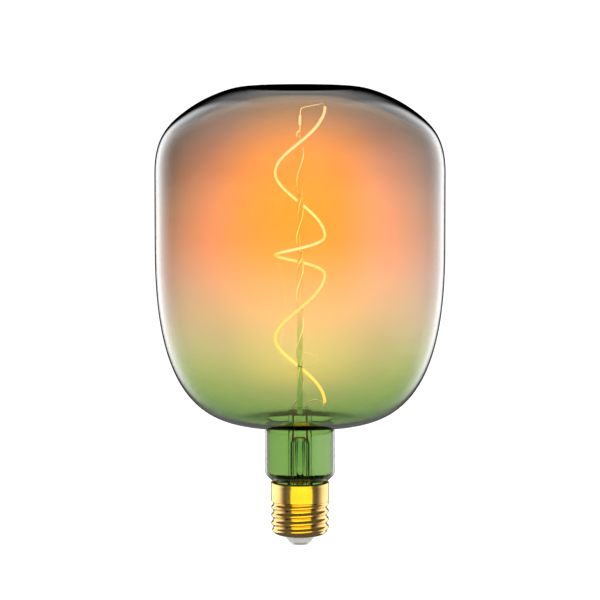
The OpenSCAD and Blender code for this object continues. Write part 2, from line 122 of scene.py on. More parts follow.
def finish_mesh(name, verts, faces, sharp=None, uvs=None):
    """An object from vertices and faces, smooth but for edges past the sharp angle, normals facing out."""
    mesh = bpy.data.meshes.new(name)
    mesh.from_pydata([tuple(c * MM for c in v) for v in verts], [], faces)
    if uvs is not None:
        layer = mesh.uv_layers.new(name="along")
        for loop in mesh.loops:
            layer.data[loop.index].uv = uvs[loop.vertex_index]
    bm = bmesh.new()
    bm.from_mesh(mesh)
    bmesh.ops.recalc_face_normals(bm, faces=bm.faces)
    if sharp is not None:
        for e in bm.edges:
            if len(e.link_faces) == 2 and e.calc_face_angle(0) > math.radians(sharp):
                e.smooth = False
    bm.to_mesh(mesh)
    bm.free()
    for p in mesh.polygons:
        p.use_smooth = True
    obj = bpy.data.objects.new(name, mesh)
    bpy.context.scene.collection.objects.link(obj)
    return obj


def lathe(name, line, sides, closed=True, sharp=None):
    """A (radius, height) line turned about the axis. Ends at radius 0 close to a point."""
    verts, rings = [], []
    for r, z in line:
        ring = [(0, 0, z)] if r < 1e-6 else circle(r, z, sides)
        rings.append(list(range(len(verts), len(verts) + len(ring))))
        verts += ring
    faces = []
    pairs = list(zip(rings, rings[1:])) + ([(rings[-1], rings[0])] if closed else [])
    for a, b in pairs:
        if len(a) == 1 and len(b) == 1:
            continue
        for k in range(sides):
            m = (k + 1) % sides
            if len(a) == 1:
                faces.append((a[0], b[m], b[k]))
            elif len(b) == 1:
                faces.append((a[k], a[m], b[0]))
            else:
                faces.append((a[k], a[m], b[m], b[k]))
    return finish_mesh(name, verts, faces, sharp)


def tube(name, path, radius, sides=12):
    """A round wire along a path, with softly rounded ends and its length in the UV map."""
    pts = [Vector(p) for p in path]
    last = len(pts) - 1
    tangents = [(pts[min(i + 1, last)] - pts[max(i - 1, 0)]).normalized() for i in range(last + 1)]
    aside = Vector((0, 1, 0)) if abs(tangents[0].y) < 0.9 else Vector((1, 0, 0))
    normal = tangents[0].cross(aside).normalized()
    run = [0.0]
    for a, b in zip(pts, pts[1:]):
        run.append(run[-1] + (b - a).length)
    rings, uvs = [], []
    for i, t in enumerate(tangents):
        normal = (normal - t * normal.dot(t)).normalized()
        side = t.cross(normal)
        steps = [(0.0, 1.0)]
        if i == 0:
            steps = [(-past, share) for past, share in reversed(ROUNDED_END)] + steps
        if i == last:
            steps = steps + list(ROUNDED_END)
        for past, share in steps:
            c = pts[i] + t * past * radius
            rings.append([tuple(c + radius * share * (math.cos(a) * normal + math.sin(a) * side))
                          for a in (2 * math.pi * k / sides for k in range(sides))])
            uvs += [(run[i] / run[-1], k / sides) for k in range(sides)]
    faces = [f for j in range(len(rings) - 1) for f in ring_faces(j, j + 1, sides)]
    faces += [ring_cap(0, sides), ring_cap(len(rings) - 1, sides)]
    return finish_mesh(name, [p for r in rings for p in r], faces, uvs=uvs)


# ---------------------------------------------------------------- material helpers

RAMP_TOP = 210.0  # mm, the height at which ramps by height end


class Mat:
    """A node material built line by line."""

    def __init__(self, name):
        self.m = bpy.data.materials.new(name)
        self.m.use_nodes = True
        self.t = self.m.node_tree
        self.bsdf = self.t.nodes["Principled BSDF"]
        self.out = self.t.nodes["Material Output"]

    def node(self, kind, **props):
        n = self.t.nodes.new(kind)
        for k, v in props.items():
            if k in ("operation", "data_type", "blend_type", "use_clamp"):
                setattr(n, k, v)
            else:
                n.inputs[k].default_value = v
        return n

    def link(self, a, b):
        self.t.links.new(a, b)

    def set(self, **values):
        for k, v in values.items():
            self.bsdf.inputs[k.replace("_", " ")].default_value = v
        return self

    def place(self):
        """Object coordinates, in metres."""
        if not hasattr(self, "_place"):
            self._place = self.node("ShaderNodeTexCoord").outputs["Object"]
        return self._place

    def axis(self, i):
        if not hasattr(self, "_xyz"):
            self._xyz = self.node("ShaderNodeSeparateXYZ")
            self.link(self.place(), self._xyz.inputs[0])
        return self._xyz.outputs[i]

    def facing(self):
        """0 where the surface is seen square on, 1 where it is seen edge-on."""
        return self.node("ShaderNodeLayerWeight", Blend=0.5).outputs["Facing"]

    def noise(self, scale, detail=3.0, stretch=None):
        n = self.node("ShaderNodeTexNoise", Scale=scale, Detail=detail, Roughness=0.55)
        if stretch:
            m = self.node("ShaderNodeMapping", Scale=stretch)
            self.link(self.place(), m.inputs["Vector"])
            self.link(m.outputs[0], n.inputs["Vector"])
        else:
            self.link(self.place(), n.inputs["Vector"])
        return n.outputs[0]

    def ramp(self, source, stops, mode="LINEAR"):
        r = self.node("ShaderNodeValToRGB")
        r.color_ramp.interpolation = mode
        els = r.color_ramp.elements
        while len(els) < len(stops):
            els.new(0.5)
        for e, (at, c) in zip(els, stops):
            e.position = at
            e.color = (*c, 1)
        self.link(source, r.inputs[0])
        return r.outputs[0]

    def by_height(self, stops, mode="LINEAR"):
        """A colour by height, through (mm, colour) stops."""
        rise = self.span(self.axis(2), 0.0, RAMP_TOP * MM)
        return self.ramp(rise, [(z / RAMP_TOP, c) for z, c in stops], mode)

    def math(self, op, a, b=None, clamp=False):
        n = self.node("ShaderNodeMath", operation=op, use_clamp=clamp)
        for i, v in enumerate((a, b)):
            if v is None:
                continue
            if isinstance(v, (int, float)):
                n.inputs[i].default_value = v
            else:
                self.link(v, n.inputs[i])
        return n.outputs[0]

    def span(self, source, lo, hi, to_lo=0.0, to_hi=1.0):
        n = self.node("ShaderNodeMapRange")
        n.inputs["From Min"].default_value = lo
        n.inputs["From Max"].default_value = hi
        n.inputs["To Min"].default_value = to_lo
        n.inputs["To Max"].default_value = to_hi
        self.link(source, n.inputs["Value"])
        return n.outputs[0]

    def mix(self, fac, a, b, mode="MIX"):
        n = self.node("ShaderNodeMix", data_type="RGBA", blend_type=mode)
        for sock, v in ((n.inputs[0], fac), (n.inputs[6], a), (n.inputs[7], b)):
            if isinstance(v, (int, float)):
                sock.default_value = v
            elif isinstance(v, tuple):
                sock.default_value = (*v, 1)
            else:
                self.link(v, sock)
        return n.outputs[2]

    def to(self, name, source):
        self.link(source, self.bsdf.inputs[name])
        return self

    def bump(self, height, strength, distance):
        b = self.node("ShaderNodeBump", Strength=strength, Distance=distance)
        self.link(height, b.inputs["Height"])
        self.link(b.outputs[0], self.bsdf.inputs["Normal"])
        return self


def varied(name, dark, light, scale, rough_lo, rough_hi,
           metal=0.0, bump=0.15, depth=0.00004, stretch=None):
    """A surface whose colour and gloss drift between two values, with a fine grain."""
    m = Mat(name)
    broad = m.noise(scale, 3.0, stretch=stretch)
    fine = m.noise(scale * 9, 2.0, stretch=stretch)
    m.to("Base Color", m.mix(m.span(broad, 0.3, 0.7), dark, light))
    m.to("Roughness", m.span(fine, 0.3, 0.7, rough_lo, rough_hi))
    m.bump(fine, bump, depth)
    return m.set(Metallic=metal)


def clear_glass(name, ior, ripple_scale, ripple, depth):
    """Smooth glass with a faint ripple. Its colour is left to the caller."""
    m = Mat(name).set(Roughness=0.0, IOR=ior, Transmission_Weight=1.0)
    return m.bump(m.noise(ripple_scale, 2.0), ripple, depth)


def cloudy(mat, scale, one, other):
    """A colour that drifts between two close ones."""
    return mat.ramp(mat.noise(scale, 2.0), [(0.3, one), (0.7, other)])


def dress(obj, mat):
    obj.data.materials.clear()
    obj.data.materials.append(mat.m)


def piece(obj, mat, slot, *stands_for):
    """A new piece: its material, its body and the CAD nodes it stands for, which are hidden. The slot is not
    used.
    """
    dress(obj, mat)
    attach(obj, "root")
    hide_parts(*stands_for)
    return obj


def paint(mat, *names):
    """The material of carried-over CAD nodes."""
    for n in names:
        for s in cad[n].material_slots:
            s.material = mat.m


# ---------------------------------------------------------------- glass envelope

GLASS_SIDES = 256
glass_lo, glass_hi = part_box("glass_envelope")
ENVELOPE_R = glass_hi[0] / MM
OVERALL_H = glass_hi[2] / MM
CROWN_FLAT_R = 25.7
CROWN_ANGLE = math.radians(35.5)
CROWN_END = (50.2, OVERALL_H - 9.8)
SHOULDER = (ENVELOPE_R, OVERALL_H - 38.7)
SIDE_FOOT = (ENVELOPE_R, 135.6)
BELLY = (30.1, 56.0)
RING = (15.7, 56.1)
WAIST = (13.9, 54.4)
NECK_R = 15.9
NECK_TOP = 50.8
NECK_LOW = 33.4
SEAL = (12.3, 28.8)
FOOT_R = 11.9
SIDE_T = 0.8
CROWN_T = 1.2
NECK_T = 1.3
NECK_HIGHLIGHT_FADE = (0.050, 0.053)   # m, where the painted highlight on the neck's sides ends
PAINTED_SHADE_START = (0.060, 0.072)  # m, where the painted dark edge begins
EDGE_SOFT = 0.06


def on_crown(reach):
    """The point a reach down the crown's slope from the end of its curve."""
    return (CROWN_END[0] + reach * math.cos(CROWN_ANGLE), CROWN_END[1] - reach * math.sin(CROWN_ANGLE))


def envelope_outline():
    """The outside of the glass, from the middle of its top down to its foot."""
    return chain(
        even((0.0, OVERALL_H), (CROWN_FLAT_R, OVERALL_H), 6),
        bezier((CROWN_FLAT_R, OVERALL_H), (31.0, OVERALL_H), on_crown(-9.6), CROWN_END, 14),
        bezier(CROWN_END, on_crown(11.8), (ENVELOPE_R, SHOULDER[1] + 15.9), SHOULDER, 24),
        even(SHOULDER, SIDE_FOOT, 8),
        bezier(SIDE_FOOT, (ENVELOPE_R, SIDE_FOOT[1] - 37.9), (BELLY[0] + 29.6, BELLY[1] + 5.8), BELLY, 40),
        bezier(BELLY, (BELLY[0] - 3.5, BELLY[1] - 0.7), (RING[0] + 6, RING[1]), RING, 12),
        bezier(RING, (RING[0] - 1.2, RING[1]), (WAIST[0], WAIST[1] + 0.9), WAIST, 12),
        bezier(WAIST, (WAIST[0], WAIST[1] - 1.6), (NECK_R, NECK_TOP + 2.0), (NECK_R, NECK_TOP), 12),
        even((NECK_R, NECK_TOP), (NECK_R, NECK_LOW), 6),
        bezier((NECK_R, NECK_LOW), (NECK_R, NECK_LOW - 1.8), (SEAL[0] + 1.0, SEAL[1] + 1.1), SEAL, 10),
        bezier(SEAL, (SEAL[0] - 0.3, SEAL[1] - 0.4), (FOOT_R, 28.0), (FOOT_R, 27.2), 4),
        [(FOOT_R, glass_lo[2] / MM)],
    )


def wall(z):
    """How thick the glass is at each height: thin at the sides, heavier at the crown and neck."""
    return (SIDE_T + (CROWN_T - SIDE_T) * smoothstep(150, 206, z)
            + (NECK_T - SIDE_T) * (1 - smoothstep(50, 62, z)))


def envelope_glass():
    """Clear glass under a sprayed tint that goes from green at the neck to grey-brown at the crown, with
    painted shade on its edges and a painted highlight on the neck's sides.
    """
    m = clear_glass("envelope_tint_and_painted_light", 1.5, 14.0, 0.05, 0.0004)
    tint = m.by_height([
        (22, (0.45, 0.62, 0.30)), (50, (0.45, 0.62, 0.30)), (58, (0.40, 0.58, 0.265)),
        (66, (0.50, 0.66, 0.31)), (74, (0.595, 0.71, 0.37)), (82, (0.70, 0.76, 0.47)),
        (90, (0.77, 0.775, 0.55)), (98, (0.81, 0.76, 0.58)), (106, (0.82, 0.72, 0.59)),
        (116, (0.815, 0.68, 0.575)), (128, (0.80, 0.62, 0.52)), (142, (0.725, 0.55, 0.43)),
        (158, (0.61, 0.49, 0.39)), (172, (0.465, 0.395, 0.33)), (184, (0.44, 0.405, 0.36)),
        (195, (0.51, 0.475, 0.415)), (206, (0.56, 0.50, 0.42))], "CARDINAL")
    # Painted highlight: the neck's tint goes paler towards its sides.
    facing = m.facing()
    neck_highlight_zone = m.span(m.axis(2), *NECK_HIGHLIGHT_FADE, 1.0, 0.0)
    tint = m.mix(m.math("MULTIPLY", m.span(facing, 0.35, 0.65), neck_highlight_zone), tint, (0.60, 0.74, 0.46))
    # Painted shade: above the belly the tint goes black where the glass is seen edge-on, most of all round
    # the crown.
    painted_shade_reach = m.by_height([(z, (c, c, c)) for z, c in (
        (22, 0.03), (57, 0.0), (66, 0.02), (78, 0.09), (165, 0.095), (175, 0.12), (181, 0.16),
        (186, 0.23), (190, 0.29), (194, 0.33), (200, 0.345), (204, 0.33), (206, 0.28), (207.2, 0.19),
        (207.7, 0.11))])
    square_on = m.math("SUBTRACT", 1.0, facing)
    # clear is 1 where the tint shows and 0 where the painted shade turns it black.
    clear = m.math("DIVIDE", m.math("SUBTRACT", square_on, painted_shade_reach), EDGE_SOFT, clamp=True)
    clear = m.math("ADD", clear, m.span(m.axis(2), *PAINTED_SHADE_START, 1.0, 0.0), clamp=True)
    return m.to("Base Color", m.mix(clear, (0.0, 0.0, 0.0), tint))


outline = envelope_outline()
inside = [(max(r + wall(z) * across, 0.0), z + wall(z) * up)
          for (r, z), (across, up) in zip(outline, normals(outline))]
inside[0] = (0.0, OVERALL_H - wall(OVERALL_H))
piece(lathe("envelope_glass", outline + inside[::-1], GLASS_SIDES), envelope_glass(),
      "envelope_glass", "glass_envelope")

# ---------------------------------------------------------------- stem, exhaust tube and rod

STEM_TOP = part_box("stem_tube")[1][2] / MM
STEM_R = 5.35
STEM_BORE_R = 3.6
STEM_CORNER = 1.7
STEM_SIDES = 64
PRESS_HALF = 3.4        # half the press's thickness, front to back
PRESS_Z = (46.5, 52.4)  # where the round tube turns into the flat press
BORE_TOP = 48.4
FLARE_R = 10.5
FLARE_TOP = 31.6
LIP_Z = (21.6, 23.2)    # the flare's lip, inside and outside


def stem_ring(r, z):
    """Round in the tube, drawn in from front to back in the press."""
    return circle(r, z, STEM_SIDES, 1 - smoothstep(*PRESS_Z, z) * (1 - PRESS_HALF / STEM_R))


def stem_shell():
    """A flare, a tube and a press pinched flat at the top, hollow up to the press."""
    corner_r, corner_z = STEM_R - STEM_CORNER, STEM_TOP - STEM_CORNER
    outer = chain(
        bezier((FLARE_R, LIP_Z[1]), (8.2, 25.2), (STEM_R, 27.4), (STEM_R, FLARE_TOP), 14),
        even((STEM_R, FLARE_TOP), (STEM_R, corner_z), 24),
        [(corner_r + STEM_CORNER * math.cos(a), corner_z + STEM_CORNER * math.sin(a)) for a in QUARTER_TURN],
        [(STEM_R - 2.4, STEM_TOP), (1.5, STEM_TOP), (0.3, STEM_TOP)],
    )
    bore = chain(
        bezier((0.3, BORE_TOP), (STEM_BORE_R * 0.7, BORE_TOP),
               (STEM_BORE_R, BORE_TOP - 1.0), (STEM_BORE_R, BORE_TOP - 2.4), 8),
        bezier((STEM_BORE_R, FLARE_TOP), (STEM_BORE_R, 26.4), (7.6, 23.2), (FLARE_R, LIP_Z[0]), 14),
    )
    rings = [stem_ring(r, z) for r, z in outer + bore]
    top = len(outer) - 1
    faces = [f for j in range(len(rings)) if j != top
             for f in ring_faces(j, (j + 1) % len(rings), STEM_SIDES)]
    faces += [ring_cap(top, STEM_SIDES), ring_cap(top + 1, STEM_SIDES)]
    return finish_mesh("stem_glass", [p for r in rings for p in r], faces)


def stem_glass():
    """Faint green glass with painted shade: dark green where it is seen edge-on."""
    m = clear_glass("stem_glass_green_painted_edges", 1.2, 90.0, 0.06, 0.0003)
    tint = cloudy(m, 60.0, (0.88, 0.96, 0.90), (0.92, 0.98, 0.94))
    # Painted shade: the tint goes dark green towards the edges that are seen edge-on.
    square_on = m.span(m.math("SUBTRACT", 1.0, m.facing()), 0.04, 0.5)
    return m.to("Base Color", m.mix(square_on, (0.02, 0.05, 0.02), tint))


def exhaust_glass():
    """Nearly clear glass that bends light little, so that the stem stays clear."""
    m = clear_glass("exhaust_glass_green", 1.1, 90.0, 0.06, 0.0003)
    return m.to("Base Color", cloudy(m, 60.0, (0.93, 0.97, 0.95), (0.96, 0.99, 0.97)))


def rod_glass():
    """Clear glass, green at its foot."""
    m = clear_glass("rod_glass_clear", 1.47, 120.0, 0.05, 0.0003)
    clear = cloudy(m, 40.0, (0.90, 0.96, 0.90), (0.95, 0.98, 0.94))
    green = m.ramp(m.span(m.axis(2), 0.06, 0.11), [
        (0.0, (0.48, 0.82, 0.40)), (0.7, (0.62, 0.88, 0.55)), (1.0, (1.0, 1.0, 1.0))])
    return m.to("Base Color", m.mix(1.0, clear, green, "MULTIPLY"))


def rod_outline():
    """A straight rod with a low dome on top."""
    lo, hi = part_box("support_rod")
    r, foot, top = hi[0] / MM, lo[2] / MM, hi[2] / MM
    dome = r * 0.6
    line = [(0.0, foot), (r * 0.95, foot)]
    line += [(r, foot + 0.1 + 5 * i) for i in range(27)]
    line += [(r * math.cos(a), top - dome + dome * math.sin(a)) for a in QUARTER_TURN[:-1]]
    return line + [(0.0, top)]


EXHAUST_LINE = [
    (0.0, 20.4), (0.5, 20.5), (0.75, 21.0), (1.2, 22.4), (1.9, 23.8), (2.2, 25.0), (2.2, 48.1),
    (1.4, 48.1), (1.4, 25.0), (1.0, 23.8), (0.5, 22.9), (0.0, 22.6)]

stem = piece(stem_shell(), stem_glass(), "stem_glass", "stem_tube")
piece(lathe("exhaust_glass_tube", EXHAUST_LINE, 48, closed=False), exhaust_glass(),
      "stem_glass", "exhaust_tube")
rod = piece(lathe("support_glass_rod", rod_outline(), 48, closed=False), rod_glass(),
            "rod_glass", "support_rod")

# ---------------------------------------------------------------- filament and wires

COIL_R = 11.2
OPEN_PITCH = 58.8
CLOSE_PITCH = 16.6
COIL_MID = 131.8
COIL_HALF = 540   # degrees from the coil's middle to either end
CLOSE_HALF = 180  # and to where the close turn in the middle opens up
COIL_SOFT = 14    # degrees over which the pitch changes
COIL_STEPS = 540
FILAMENT_R = 0.65
CORE_CHIPS = 150  # light and dark spots along the cord


def soft_ramp(x):
    """0 well below 0 and x well above it, rounded in between."""
    return (x + math.sqrt(x * x + COIL_SOFT * COIL_SOFT)) / 2


def coil_drop(a):
    """How far below its middle the coil is at an angle, in degrees, from there."""
    opened = soft_ramp(abs(a) - CLOSE_HALF) - soft_ramp(-CLOSE_HALF)
    return math.copysign(1, a) * (CLOSE_PITCH * abs(a) + (OPEN_PITCH - CLOSE_PITCH) * opened) / 360


def coil_point(a):
    """The middle of the filament at an angle, in degrees, from the coil's middle."""
    t = math.radians(a + COIL_HALF)
    return (COIL_R * math.cos(t), -COIL_R * math.sin(t), COIL_MID - coil_drop(a))


def phosphor():
    """A lit cord, yellow at its edges and brighter along its core over each chip."""
    m = Mat("lit_phosphor")
    uv = m.node("ShaderNodeSeparateXYZ")
    m.link(m.node("ShaderNodeUVMap").outputs[0], uv.inputs[0])
    chips = m.math("SINE", m.math("MULTIPLY", uv.outputs[0], 2 * math.pi * CORE_CHIPS))
    glow = m.math("MULTIPLY", m.span(chips, -1, 1, 0.9, 1.0), m.span(m.facing(), 0.35, 0.9, 1.0, 0.0))
    lit = m.by_height([
        (66, (1.0, 0.46, 0.16)), (80, (1.0, 0.42, 0.16)), (100, (1.0, 0.40, 0.17)),
        (113, (1.0, 0.42, 0.20)), (128, (1.0, 0.56, 0.55)), (152, (1.0, 0.72, 0.80)),
        (172, (1.0, 0.78, 0.58)), (195, (1.0, 0.80, 0.50))])
    m.to("Emission Color", m.mix(glow, (0.85, 0.38, 0.02), lit))
    m.to("Base Color", m.mix(m.noise(600.0), (0.90, 0.55, 0.08), (1.0, 0.68, 0.12)))
    m.set(Roughness=0.45, Emission_Strength=2.4)
    return m.bump(m.noise(1500.0), 0.1, 0.00003)


cord = [coil_point(-COIL_HALF + 2 * COIL_HALF * i / COIL_STEPS) for i in range(COIL_STEPS + 1)]
piece(tube("filament_phosphor_cord", cord, FILAMENT_R, 16), phosphor(), "phosphor", "filament_coating")

WIRE_R = 0.2
LEAD_R = 1.5
LEAD_PITCH = 25.9
LEAD_FRONT = 171.8  # where the lead passes in front of the rod
LEAD_Z = (66.5, LEAD_FRONT + LEAD_PITCH / 2)
LEAD_STEPS = 220
HEAD_STEPS = 24
SLEEVE_Y = -1.95
ROUTE_HOOK = [(0, -1.95, 193.6), (0, -1.95, 196.6), (0.3, -1.9, 198.2), (1.6, -1.7, 199.0),
              (4, -1.0, 199.5), (7, 0.3, 199.9), (9.6, 1.7, 200.4), (10.6, 2.5, 200.9),
              (10.74, 1.6, 200.2), (10.74, 0.6, 199.4)]
ROUTE_FOOT = [(-2.9, 0, 61.02), (-2.9, 0, 63.0), (-2.5, -0.5, 64.2), (-1.65, -1.15, 65.3)]
ROUTE_LOW = [(2.9, 0, 61.02), (2.9, 0, 62.8), (3.6, 0.1, 64.4), (5.4, 0.3, 65.4), (7.6, 0.4, 65.6),
             (9.6, 0.3, 65.2), (10.6, -0.1, 64.6), (10.74, -0.8, 64.0), (10.74, -1.9, 63.1)]
SLEEVE_LINE = [
    (0.26, 191.2), (0.6, 191.2), (0.7, 191.35), (0.7, 192.4), (0.6, 192.6), (0.6, 192.9), (0.7, 193.1),
    (0.7, 193.9), (0.6, 194.1), (0.6, 194.4), (0.7, 194.6), (0.7, 195.45), (0.6, 195.6), (0.26, 195.6)]


def ring_at(r, a, z):
    """A point at a radius, an angle in degrees and a height."""
    return (r * math.cos(math.radians(a)), r * math.sin(math.radians(a)), z)


def lead_at(z):
    """A point of the lead where it winds up the rod."""
    return ring_at(LEAD_R, 270 + (z - LEAD_FRONT) * 360 / LEAD_PITCH, z)


def lead_route():
    """From the press, wound up the rod, then half a turn out to the splice sleeve in front of it."""
    foot = smooth_run(ROUTE_FOOT + [lead_at(LEAD_Z[0])], 2)[:-1]
    turns = [lead_at(LEAD_Z[0] + (LEAD_Z[1] - LEAD_Z[0]) * i / LEAD_STEPS) for i in range(LEAD_STEPS + 1)]
    shares = (i / HEAD_STEPS for i in range(1, HEAD_STEPS + 1))
    head = [ring_at(LEAD_R + 0.45 * t * t, 90 + 180 * t, LEAD_Z[1] + 4.4 * t) for t in shares]
    return [tuple(p) for p in foot] + turns + head + [(0, SLEEVE_Y, 190.4), (0, SLEEVE_Y, 193.2)]


nickel_wire = varied("nickel_wire", (0.88, 0.86, 0.82), (0.97, 0.96, 0.93), 300.0, 0.3, 0.5,
                     metal=0.1, stretch=(1, 1, 0.1))
hook = piece(tube("top_hook_nickel_wire", smooth_run(ROUTE_HOOK), WIRE_R), nickel_wire,
             "bright_wire", "top_hook_wire")
long_lead = piece(tube("return_lead_nickel_wire", lead_route(), WIRE_R), nickel_wire,
                  "bright_wire", "return_lead_wire")
short_lead = piece(tube("lower_lead_nickel_wire", smooth_run(ROUTE_LOW), WIRE_R), nickel_wire,
                   "bright_wire", "lower_lead_wire")
splice = lathe("splice_crimp_sleeve", SLEEVE_LINE, 32)
splice.data.transform(Matrix.Translation((0, SLEEVE_Y * MM, 0)))
crimped = varied("splice_tube_metal", (0.80, 0.79, 0.76), (0.95, 0.94, 0.92), 400.0, 0.3, 0.5, metal=0.35)
piece(splice, crimped, "splice_metal", "splice_sleeve")

# ---------------------------------------------------------------- screw cap

CAP_SIDES = 160
BAND_R = 13.2
BAND_Z = (20.3, 27.15)
THREAD_MID_R = 12.6
THREAD_HALF = 0.5          # from the middle radius to the crest or the root
THREAD_Z = (7.0, 20.2)
THREAD_STEPS = 84
THREAD_START = (5.2, 7.6)  # the heights over which the thread rises out of the foot
THREAD_END = (18.9, 20.1)  # and over which it runs out into the band
THREAD_PHASE = 15.1        # a crest's height on the right
PITCH = 3.629
SHELL_FOOT = (7.0, 3.9)
SHEET = 0.3
BEAD = [(BAND_R - 0.60, 28.25), (BAND_R - 0.40, 28.40), (BAND_R - 0.10, 28.30), (BAND_R + 0.08, 27.90),
        (BAND_R + 0.02, 27.50), (BAND_R - 0.12, 27.30)]


def thread_lift(z, turn):
    """How far the sheet stands out from the middle radius at a height and angle, in turns."""
    wave = math.cos(2 * math.pi * ((z - THREAD_PHASE) / PITCH - turn))
    return THREAD_HALF * smoothstep(*THREAD_START, z) * wave


def shell_point(part, r, z, turn, inset):
    """A point of the sheet's outside, or of its inside when moved in by the inset."""
    if part == "thread":
        run_out = smoothstep(*THREAD_END, z)
        r = (1 - run_out) * (THREAD_MID_R + thread_lift(z, turn)) + run_out * BAND_R - inset
    elif part == "band":
        r = r - inset
    else:
        under = min(1.0, (THREAD_Z[0] - z) / (THREAD_Z[0] - SHELL_FOOT[1]))
        r, z = r + thread_lift(z, turn) - inset * (1 - under), z + inset * under
    return (r * math.cos(2 * math.pi * turn), r * math.sin(2 * math.pi * turn), z)


def sheet_face(line, inset):
    """The rings of one face of the sheet."""
    return [[shell_point(part, r, z, k / CAP_SIDES, inset) for k in range(CAP_SIDES)] for part, r, z in line]


def screw_shell():
    """A rolled bead, a smooth band, a helical thread and a foot drawn in under it, all one sheet."""
    thread = even((0, THREAD_Z[1]), (0, THREAD_Z[0]), THREAD_STEPS)
    foot = bezier((THREAD_MID_R, THREAD_Z[0]), (THREAD_MID_R, 5.0), (10.2, SHELL_FOOT[1]), SHELL_FOOT, 12)[1:]
    line = [("band", r, z) for r, z in BEAD + even((BAND_R, BAND_Z[1]), (BAND_R, BAND_Z[0]), 6)]
    line += [("thread", r, z) for r, z in thread] + [("foot", r, z) for r, z in foot]
    rings = sheet_face(line, 0.0) + sheet_face(line[len(BEAD):], SHEET)[::-1]
    faces = [f for j in range(len(rings)) for f in ring_faces(j, (j + 1) % len(rings), CAP_SIDES)]
    return finish_mesh("brass_screw_shell", [p for r in rings for p in r], faces)


def cap_brass():
    """Polished brass with a little wear and fine turning lines."""
    m = Mat("cap_brass_sheet").set(Metallic=1.0)
    wear = m.noise(180.0, 4.0)
    lines = m.noise(500.0, 2.0, stretch=(1, 1, 6))
    m.to("Base Color", m.mix(m.span(wear, 0.35, 0.7), (1.0, 0.68, 0.25), (0.93, 0.60, 0.21)))
    m.to("Roughness", m.span(lines, 0.3, 0.7, 0.10, 0.22))
    return m.bump(lines, 0.06, 0.00003)


INSULATOR_LINE = chain(
    [(1.62, 0.92), (4.5, 0.92)],
    bezier((4.5, 0.92), (4.8, 0.92), (5.0, 1.0), (5.15, 1.25), 4),
    bezier((6.6, 3.35), (6.75, 3.6), (6.75, 3.7), (6.75, 3.9), 3),
    [(6.75, 4.25), (7.9, 4.3), (8.5, 4.6), (8.5, 6.0), (6.6, 6.0), (6.2, 5.4), (1.62, 5.4)])
CONTACT_EDGE = 0.7
CONTACT_LINE = chain(
    [(0.0, 0.0), (2.0, 0.0), (4.0, 0.0)],
    [(4.0 + CONTACT_EDGE * math.sin(a), CONTACT_EDGE - CONTACT_EDGE * math.cos(a)) for a in QUARTER_TURN],
    [(4.7, 0.9), (1.58, 0.9), (1.58, 6.2), (0.0, 6.2)])

cap = piece(screw_shell(), cap_brass(), "cap_brass", "screw_shell")
insulator = piece(lathe("cap_insulator_moulding", INSULATOR_LINE, 96, sharp=50),
                  varied("white_insulator", (0.46, 0.46, 0.455), (0.54, 0.54, 0.53), 160.0, 0.28, 0.42,
                         bump=0.12),
                  "insulator", "cap_insulator")
contact = piece(lathe("centre_contact_button", CONTACT_LINE, 96, closed=False, sharp=50),
                varied("contact_nickel", (0.70, 0.70, 0.69), (0.82, 0.82, 0.81), 260.0, 0.25, 0.45,
                       metal=0.7, bump=0.2),
                "contact_metal", "centre_contact")

# ---------------------------------------------------------------- hidden pieces keep their CAD shapes

TINNED = (0.74, 0.74, 0.72)
CHIP_LEG = 0.79     # of leg past a chip's body at either end
CHIP_HALF = 1.0     # half a chip resistor's length
CHIP_CAP_AT = 0.65  # from its middle to its tinned ends
STRIPE_HALF = 0.22  # half the width of a colour stripe on the fusible resistor
BROWN = (0.16, 0.05, 0.02)
BLACK = (0.01, 0.01, 0.01)
GOLD = (0.55, 0.38, 0.08)


def beyond(mat, axis, centre, half):
    """1 where a point is further than half, in mm, from a centre along an axis."""
    off = mat.math("ABSOLUTE", mat.math("SUBTRACT", mat.axis(axis), centre * MM))
    return mat.math("GREATER_THAN", off, half * MM)


def overlay(mat, mask, color, metal=False):
    """Another colour, and bare metal if asked, where the mask is 1."""
    under_it = mat.bsdf.inputs["Base Color"].links[0].from_socket
    mat.to("Base Color", mat.mix(mask, under_it, color))
    if metal:
        mat.to("Metallic", mat.math("MULTIPLY", mask, 0.9))
    return mat


def middle(node, axis):
    """The middle and half the length of a node along an axis, in mm."""
    lo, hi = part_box(node)
    return (lo[axis] + hi[axis]) / 2 / MM, (hi[axis] - lo[axis]) / 2 / MM


def circuit_board(name, mask_dark, mask_light, pitch):
    """Solder mask over tracks that run along the board and stop at patches."""
    m = varied(name, mask_dark, mask_light, 400.0, 0.25, 0.4)
    wave = m.math("SINE", m.math("MULTIPLY", m.axis(2), 2 * math.pi / (pitch * MM)))
    patch = m.span(m.noise(260.0, 0.0), 0.47, 0.49)
    tracks = m.math("MULTIPLY", m.span(wave, 0.3, 0.5), patch)
    return overlay(m, m.math("MULTIPLY", tracks, 0.8), tuple(min(1.0, 2.2 * c + 0.02) for c in mask_light))


def black_moulding(name):
    """Matt black plastic."""
    return varied(name, (0.020, 0.020, 0.022), (0.045, 0.045, 0.05), 500.0, 0.45, 0.7, bump=0.3)


def chip(node):
    """Black moulding whose legs, past the body up and down the board, are tinned."""
    m = black_moulding(f"{node}_moulding")
    centre, half = middle(node, 2)
    return overlay(m, beyond(m, 2, centre, half - CHIP_LEG), TINNED, metal=True)


def chip_resistors():
    """Dark ceramic in a lower and an upper row, tinned at both ends of each chip."""
    m = varied("ceramic_chips", (0.03, 0.03, 0.04), (0.10, 0.10, 0.12), 900.0, 0.3, 0.5)
    centre, half = middle("chip_resistors", 2)
    rows = (centre - half + CHIP_HALF, centre + half - CHIP_HALF)
    lower, upper = (beyond(m, 2, row, CHIP_CAP_AT) for row in rows)
    return overlay(m, m.math("MULTIPLY", lower, upper), TINNED, metal=True)


